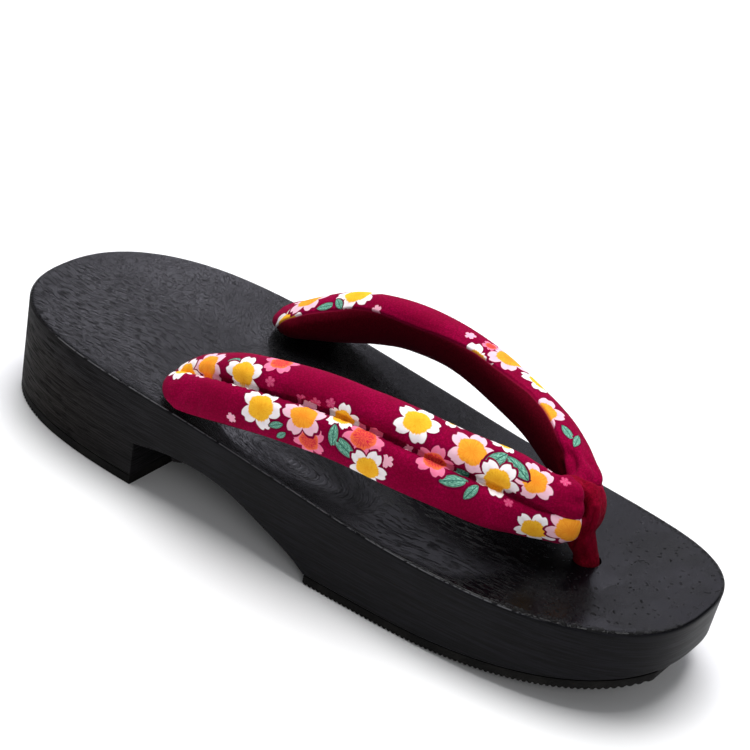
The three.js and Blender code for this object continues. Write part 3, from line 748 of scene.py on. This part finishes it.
class Recipe:
    """A material whose nodes are written as expressions."""

    def __init__(self, name, **constants):
        self.material = bpy.data.materials.new(name)
        self.material.use_nodes = True
        self.tree = self.material.node_tree
        self.tree.nodes.clear()
        self.shader = self.tree.nodes.new("ShaderNodeBsdfPrincipled")
        end = self.tree.nodes.new("ShaderNodeOutputMaterial")
        self.tree.links.new(self.shader.outputs[0], end.inputs["Surface"])
        for key, value in constants.items():
            self.shader.inputs[key.replace("_", " ")].default_value = value

    def put(self, socket, value):
        if isinstance(value, Term):
            self.tree.links.new(value.socket, socket)
        elif isinstance(value, (tuple, list)) and len(value) == 3 and socket.type == "RGBA":
            socket.default_value = (*value, 1)
        else:
            socket.default_value = value

    def node(self, kind, settings=None, sockets=None, output=0):
        """Any node: its type, its settings, the values or links of its sockets, and which output."""
        made = self.tree.nodes.new(kind)
        for key, value in (settings or {}).items():
            setattr(made, key, value)
        for key, value in (sockets or {}).items():
            self.put(made.inputs[key], value)
        return Term(self, made.outputs[output])

    def mix(self, factor, first, second):
        """first where factor is 0 and second where it is 1, as colours."""
        return self.node("ShaderNodeMix", {"data_type": "RGBA"}, {0: factor, 6: first, 7: second}, 2)

    def scaled(self, vector, factors):
        return self.node("ShaderNodeVectorMath", {"operation": "MULTIPLY"}, {0: vector, 1: factors})

    def shifted(self, vector, offset):
        return self.node("ShaderNodeVectorMath", {"operation": "ADD"}, {0: vector, 1: offset})

    def joined(self, x, y, z):
        return self.node("ShaderNodeCombineXYZ", None, {0: x, 1: y, 2: z})

    def part(self, vector, axis):
        return self.node("ShaderNodeSeparateXYZ", None, {0: vector}, "XYZ".index(axis))

    def noise(self, vector, scale, detail=2.0, roughness=0.5, distortion=0.0):
        """Noise from 0 to 1. A scale of three numbers has one for each axis."""
        if isinstance(scale, tuple):
            vector, scale = self.scaled(vector, scale), 1.0
        return self.node("ShaderNodeTexNoise", None,
                         {"Vector": vector, "Scale": scale, "Detail": detail,
                          "Roughness": roughness, "Distortion": distortion})

    def objects(self):
        """Object coordinates, in millimetres."""
        place = self.node("ShaderNodeTexCoord", output=3)
        return self.scaled(place, (1000, 1000, 1000))

    def attribute(self, name, output=2):
        return self.node("ShaderNodeAttribute", {"attribute_name": name}, None, output)

    def finish(self, bump=None, distance=0.1, **sockets):
        """Sets the shader's sockets, and its relief from bump, whose full height is distance."""
        for key, value in sockets.items():
            self.put(self.shader.inputs[key.replace("_", " ")], value)
        if bump is not None:
            relief = self.node("ShaderNodeBump", None,
                               {"Height": bump, "Distance": distance * METRE, "Strength": 1.0})
            self.tree.links.new(relief.socket, self.shader.inputs["Normal"])
        return self.material


def lacquer():
    """Black lacquer over open grain. On the bed the grain is fine pores and dashes along the length,
    which are deepest by the heel's near edge and beside the near arm, run in rings round a knot by
    that arm, and fade into a few pits at the toe. The walls have level lines, and their near upper
    edge carries a painted highlight, a pale broken line of colour."""
    m = Recipe("black_lacquer", Specular_IOR_Level=0.1)
    place = m.objects()
    height, along, out = m.part(place, "Z"), m.part(place, "Y"), m.part(place, "X")
    facing = m.part(m.node("ShaderNodeNewGeometry", output=1), "Z")
    upward = facing.ease(0.55, 0.9)
    to_toe = along.ease(58, 92)
    heelward = along.ease(-20, -95)

    # The bed's grain: x is carried sideways by a slow noise, and round the knot it is the distance
    # from the knot's middle
    wander = m.noise(place, (0.03, 0.018, 0.03), 1.0) - 0.5
    knot_x, knot_y = out - KNOT_OUT, along - KNOT_ALONG
    ring = (knot_x * knot_x + knot_y * knot_y * 0.12) ** 0.5
    knot = ring.ease(15, 7) * along.ease(34, 22)
    grain_x = out + 16 * wander + knot * (ring - out)
    grain_y = along * (1 - 0.7 * knot)
    grained = m.joined(grain_x, grain_y, height)
    dashes = m.noise(grained, (2.7, 0.27, 0.3), 2.0, 0.5).ease(0.37, 0.48)
    pores = m.noise(grained, (4.4, 1.7, 0.8), 2.0, 0.6).ease(0.38, 0.54)
    near_heel = heelward * out.ease(-22, 22)
    ahead = along.ease(16, 34) * (1 - to_toe)
    beside = ahead * out.ease(8, 24)
    dashed = 0.28 + 0.42 * near_heel + 0.37 * knot + 0.4 * beside
    bed_grain = dashes * dashed + pores * (1 - dashed) * (1 - ahead)

    # Pits at the toe and chips along its edge
    patch = m.noise(place, (0.07, 0.09, 0.05), 2.0).ease(0.42, 0.6)
    pits = m.noise(grained, (0.8, 0.6, 0.4), 1.0, 0.4).ease(0.665, 0.71)
    pits = pits * (0.35 + 0.65 * patch)
    reach = TOE_END["reach"] * LENGTH
    left = (along + (reach - TOE)) / reach
    half = WIDTH / 2 * (1 - left ** TOE_END["fullness"]).most(0) ** (1 / TOE_END["roundness"])
    rim = half - abs(out)
    chips = rim.ease(3.2, 0.9) * m.noise(place, 0.75, 2.0).ease(0.48, 0.58) * along.ease(66, 84)
    scar = (pits * to_toe).most(chips)

    deep_at = (0.9 + 0.7 * near_heel + 0.3 * knot + 0.5 * beside
               - 0.85 * along.ease(44, 60) * (1 - to_toe))
    bed_relief = bed_grain * (1 - to_toe * (0.85 - 0.5 * patch)) * deep_at - 1.6 * scar
    rows = m.noise(place, (0.07, 0.07, 2.1), 3.0, 0.6).ease(0.35, 0.7)
    streaks = m.noise(place, (0.16, 0.16, 1.5), 2.0, 0.5).ease(0.36, 0.48)
    wall_grain = rows * (1 - 0.5 * heelward) + 0.5 * heelward * streaks
    wall_relief = wall_grain * (0.14 + 1.2 * heelward)
    relief = upward * bed_relief + (1 - upward) * wall_relief

    tone = m.noise(place, (0.02, 0.012, 0.05), 2.0)
    grain = upward * bed_grain.most(to_toe * 0.8) * (1 - scar) + (1 - upward) * wall_grain
    deep = (0.0005, 0.0005, 0.0006)
    plain = m.mix(upward, (0.0054, 0.0052, 0.0082), (0.0016, 0.0016, 0.0024))
    brown = (0.0096, 0.0072, 0.0056)
    body = m.mix(heelward * (1 - upward) * (0.4 + 0.6 * tone.ease(0.35, 0.65)), plain, brown)
    colour = m.mix(grain * 0.8 + 0.1, deep, body)
    # Painted highlight: a pale, broken line of colour along the walls' near upper edge, on the lit near
    # side only
    edge = facing.ease(0.48, 0.6) * facing.ease(0.84, 0.74) * (out > 0)
    highlight_breakup = m.noise(place, (0.5, 0.35, 0.5), 3.0, 0.7)
    painted_edge_highlight = edge * highlight_breakup.ease(0.38, 0.5) * along.ease(92, 76) * along.ease(-96, -84)
    colour = m.mix(painted_edge_highlight * 0.6, colour, (0.15, 0.15, 0.16))
    open_pores = (1 - dashes) * (0.2 + 0.8 * near_heel + 0.6 * beside) + 0.35 * (1 - pores)
    open_pores = open_pores * (1 - to_toe)
    rough = (0.09 + 0.08 * (1 - grain) + 0.05 * tone + upward * (0.5 * scar + 0.34 * open_pores)
             + (1 - upward) * (0.3 + heelward * (0.5 - 0.35 * wall_grain)))
    return m.finish(bump=relief, distance=0.11, Base_Color=colour, Roughness=rough)


def rubber():
    """Dull black rubber with a fine tooth."""
    m = Recipe("tread_rubber", Specular_IOR_Level=0.12)
    place = m.objects()
    tooth = m.noise(place, 2.6, 3.0, 0.65)
    dust = m.noise(place, 0.12, 2.0).ease(0.4, 0.75)
    colour = m.mix(dust, (0.0035, 0.0032, 0.003), (0.0085, 0.0078, 0.007))
    return m.finish(bump=tooth, distance=0.12, Base_Color=colour, Roughness=0.66 + 0.2 * tooth)


def twisted_cord():
    """Black cotton cord."""
    m = Recipe("black_cord", Specular_IOR_Level=0.1, Sheen_Weight=0.03)
    thread = m.noise(m.objects(), 4.0, 2.0, 0.6)
    colour = m.mix(thread, (0.003, 0.0025, 0.003), (0.012, 0.01, 0.011))
    return m.finish(bump=thread, distance=0.2, Base_Color=colour, Roughness=0.88)


def crepe():
    """Deep crimson crepe: short crossing wrinkles, a soft nap, and painted shade that darkens it towards
    the post's foot.
    """
    m = Recipe("crimson_crepe", Specular_IOR_Level=0.03, Sheen_Weight=0.06, Sheen_Roughness=0.4,
               Sheen_Tint=(0.9, 0.12, 0.2, 1))
    place = m.objects()
    pucker = m.noise(place, (1.5, 1.5, 0.9), 3.0, 0.6, 0.8)
    nap = m.noise(place, 5.5, 2.0, 0.6)
    tone = m.noise(place, 0.22, 2.0)
    colour = m.mix(pucker.ease(0.3, 0.7), (0.12, 0.0004, 0.007), (0.27, 0.001, 0.019))
    colour = m.mix(tone.ease(0.35, 0.75) * 0.5, colour, (0.29, 0.001, 0.03))
    # Painted shade: darker towards the bottom, over the drum's lower part and down the post
    colour = m.mix(m.part(place, "Z").ease(41, 29) * 0.55, colour, (0.05, 0.0002, 0.002))
    relief = pucker + 0.35 * nap
    return m.finish(bump=relief, distance=0.22, Base_Color=colour, Roughness=0.86)


def rgb(*screen):
    """A screen colour, each channel from 0 to 255, as the linear values that a shader takes."""
    return tuple(c / 3294.6 if c < 10.3 else ((c / 255 + 0.055) / 1.055) ** 2.4 for c in screen)


def blossoms(m, layer, cloth):
    """One layer of five-petalled blossoms drawn over cloth: petals with a notched edge, a lobed centre
    with fine rays, and a thin dark outline. Kinds 3 and 4 are buds without a centre."""
    place = m.attribute(layer, 1)
    x, y, kind = (m.part(place, axis) for axis in "XYZ")
    rough = m.noise(m.shifted(m.scaled(place, (1, 1, 17)), (3, 5, 0)), 5.5, 2.0, 0.6)
    r = (x * x + y * y) ** 0.5 + 0.07 * (rough - 0.5)
    fifth = m.node("ShaderNodeMath", {"operation": "ARCTAN2"}, {0: y, 1: x}) * (5 / (2 * math.pi))
    off = 1 - abs((fifth % 1) * 2 - 1)
    edge = 0.98 - 0.43 * off ** 2.2 - 0.1 * (1 - off.ease(0.0, 0.26))
    lobes = m.noise(m.joined(fifth * 3.2, r * 1.6, kind), 3.0, 2.0) - 0.5
    middle = 0.6 - 0.06 * off + 0.15 * lobes
    pinker, red = kind.ease(0.4, 0.6), kind.ease(1.4, 1.6)
    bud, pale_bud = kind.ease(2.4, 2.6), kind.ease(3.4, 3.6)
    petal = m.mix(pinker, rgb(246, 238, 240), rgb(244, 196, 212))
    petal = m.mix(red, petal, rgb(238, 122, 158))
    petal = m.mix(bud, petal, rgb(214, 70, 120))
    petal = m.mix(pale_bud, petal, rgb(240, 176, 196))
    shade = m.mix(pinker, rgb(214, 200, 214), rgb(232, 160, 186))
    petal = m.mix((1 - (off * 0.9 + 0.1)).ease(0.5, 1.0) * (1 - r.ease(0.55, 0.9)) * 0.5, petal, shade)
    rays = m.noise(m.joined(fifth * 7, r * 2.2, kind), 2.6, 2.0)
    gold = m.mix(pinker, rgb(252, 190, 50), rgb(252, 166, 50))
    deep = m.mix(pinker, rgb(232, 146, 24), rgb(238, 126, 32))
    core = m.mix((rays.ease(0.42, 0.66) * 0.55 + 0.35 * (1 - r.ease(0.0, 0.4))), gold, deep)
    ray = (rays.ease(0.38, 0.58) * 0.65 + 0.35) * (1 - r.ease(0.36, 0.66))
    flame = m.mix(ray, rgb(250, 126, 64), rgb(204, 30, 66))
    core = m.mix(red, core, flame)
    ink = rgb(124, 0, 50)
    drawn = m.mix((edge + 0.13 - r).ease(-0.015, 0.015) * (r < 3) * (1 - bud * 0.6), cloth, ink)
    drawn = m.mix((edge - r).ease(-0.02, 0.02) * (1 - 0.2 * (bud - pale_bud)), drawn, petal)
    return m.mix((middle - r).ease(-0.03, 0.03) * (1 - bud), drawn, core)


def leaves(m, cloth):
    """Pointed leaves drawn over cloth, with a dark vein, a duller edge and a dark outline."""
    place = m.attribute("leaf", 1)
    x, y = m.part(place, "X"), m.part(place, "Y")
    half = 0.43 * (1 - x * x).most(0) ** 0.8 + 0.03 * (m.noise(place, 9.0) - 0.5)
    inside = abs(x) < 1.0
    brushed = m.noise(m.scaled(place, (2, 9, 1)), 2.2, 2.0)
    green = m.mix(brushed.ease(0.4, 0.62), rgb(62, 122, 104), rgb(140, 200, 176))
    green = m.mix((half - abs(y)).ease(0.16, 0.0) * 0.6, green, rgb(62, 104, 92))
    green = m.mix((0.05 - abs(y)).ease(0, 0.03), green, rgb(44, 96, 84))
    rim = m.mix((abs(x) < 1.1) * (half + 0.16 - abs(y)).ease(-0.02, 0.02), cloth, rgb(104, 0, 44))
    return m.mix(inside * (half - abs(y)).ease(-0.02, 0.02), rim, green)


def printed_cotton():
    """Magenta cotton with the blossoms printed on it, and the dark lining beyond the seams."""
    m = Recipe("printed_cotton", Specular_IOR_Level=0.03, Sheen_Weight=0.02, Sheen_Roughness=0.5,
               Sheen_Tint=(1, 0.3, 0.5, 1))
    along, around, seam = (m.attribute(name) for name in ("along", "around", "seam"))
    place = m.objects()
    tone = m.noise(place, 0.1, 2.0)
    thread = m.noise(m.joined(along * 1.1, around * 2.6, 0.0), 1.0, 2.0, 0.6)
    cross = m.noise(m.joined(along * 2.6, around * 1.1, 7.0), 1.0, 2.0, 0.6)
    weave = 0.5 * (thread + cross)
    cloth = m.mix(tone.ease(0.3, 0.7), rgb(138, 0, 50), rgb(156, 0, 62))
    cloth = m.mix(weave.ease(0.42, 0.62), m.mix(0.75, cloth, rgb(108, 0, 36)), cloth)
    cloth = blossoms(m, "blossom_low", cloth)
    cloth = leaves(m, cloth)
    cloth = blossoms(m, "blossom_high", cloth)
    lining = m.mix(weave.ease(0.4, 0.62), rgb(70, 0, 14), rgb(88, 2, 22))
    colour = m.mix(seam.ease(-0.12, 0.12), lining, cloth)
    colour = m.mix(abs(seam).ease(0.5, 0.1) * 0.5, colour, rgb(150, 20, 60))
    return m.finish(bump=weave, distance=0.1, Base_Color=colour, Roughness=0.82 + 0.08 * weave)


# The camera and the light

def camera():
    """The photograph's view: the camera stands off from its target by azimuth and elevation, and is
    rolled about its own line of sight."""
    azimuth, elevation, roll = (math.radians(a) for a in (AZIMUTH, ELEVATION, ROLL))
    back = Vector((math.sin(azimuth) * math.cos(elevation), -math.cos(azimuth) * math.cos(elevation),
                   math.sin(elevation)))
    right = Vector((0, 0, 1)).cross(back).normalized()
    up = back.cross(right)
    turned_right = math.cos(roll) * right + math.sin(roll) * up
    turned_up = math.cos(roll) * up - math.sin(roll) * right
    data = bpy.data.cameras.new("camera")
    data.sensor_width, data.lens = SENSOR, SENSOR * FOCAL / PHOTO_WIDTH
    data.clip_start, data.clip_end = 0.05, 20
    seat = (Vector(TARGET) + back * DISTANCE) * METRE
    made = bpy.data.objects.new("camera", data)
    made.matrix_world = Matrix.Translation(seat) @ Matrix(
        (turned_right, turned_up, back)).transposed().to_4x4()
    bpy.context.scene.collection.objects.link(made)
    bpy.context.scene.camera = made


def panel(name, place, aim, size, watts, colour):
    """A rectangular soft light at place, in metres, facing aim."""
    data = bpy.data.lights.new(name, "AREA")
    data.shape, data.size, data.size_y = "RECTANGLE", size[0], size[1]
    data.energy, data.color = watts, colour
    made = bpy.data.objects.new(name, data)
    made.location = place
    made.rotation_mode = "QUATERNION"
    made.rotation_quaternion = (Vector(aim) - Vector(place)).to_track_quat("-Z", "Y")
    bpy.context.scene.collection.objects.link(made)


def studio():
    """A pale floor, two panels behind the far side whose sheen lies on the toe's and on the heel's part
    of the bed, a panel overhead, a soft front fill and a pale surround."""
    far = 3000
    floor = mesh_object("floor", [(-far, -far, 0), (far, -far, 0), (far, far, 0), (-far, far, 0)],
                        [(0, 1, 2, 3)])
    m = Recipe("pale_floor", Specular_IOR_Level=0.1)
    floor.data.materials.append(m.finish(Base_Color=(0.86, 0.86, 0.865), Roughness=0.9))
    for light in LIGHTS:
        panel(*light)
    world = bpy.data.worlds.new("surround")
    world.use_nodes = True
    sky = world.node_tree.nodes["Background"].inputs
    sky["Color"].default_value, sky["Strength"].default_value = (0.96, 0.975, 1, 1), 0.24
    bpy.context.scene.world = world
    bpy.context.scene.view_settings.view_transform = "Standard"


# The object

def dress(piece, material, slot, *nodes):
    """Gives a piece its material and its body, and hides the solids that it stands for; slot is not used.
    """
    piece.data.materials.clear()
    piece.data.materials.append(material)
    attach(piece, "root")
    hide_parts(*nodes)
    return piece


camera()
front_roof = float(forefoot_height(FRONT_HOLE)) + TREAD + GAP + RECESS_DEPTH
rear_roof = float(wood_underside(np.array([-REAR_HOLE_BACK]))[0])
rear_holes = [(CORD_RADIUS + CORD_HOLE_GAP, side * REAR_HOLE_OUT, -REAR_HOLE_BACK, THROUGH)
              for side in (1, -1)]
recess = (RECESS_RADIUS, 0, FRONT_HOLE, front_roof)
front_hole = (POST_RADIUS + HOLE_GAP, 0, FRONT_HOLE, THROUGH)
black, sole, cord = lacquer(), rubber(), twisted_cord()
dress(cut_holes(wooden_base(), [front_hole, recess] + rear_holes), black, "lacquered_wood", "wood_base")
dress(cut_holes(front_tread(), [recess]), sole, "tread_rubber", "front_rubber_sole")
dress(heel_tread(), sole, "tread_rubber", "heel_rubber_sole")
band = dress(strap(), printed_cotton(), "printed_cotton", "strap")
wrap = dress(toe_wrap(), crepe(), "crimson_crepe", "toe_loop")
dress(knotted_cord("front_knotted_cord", 0, FRONT_HOLE, front_roof, front_roof + FRONT_CORD_RISE,
                   FRONT_CORD_RADIUS), cord, "cord", "front_knot")
for side, word in ((1, "right"), (-1, "left")):
    dress(knotted_cord(f"rear_knotted_cord_{word}", side * REAR_HOLE_OUT, -REAR_HOLE_BACK, rear_roof,
                       REAR_CORD_TOP[side], CORD_RADIUS), cord, "cord", f"rear_cord_{word}")
studio()
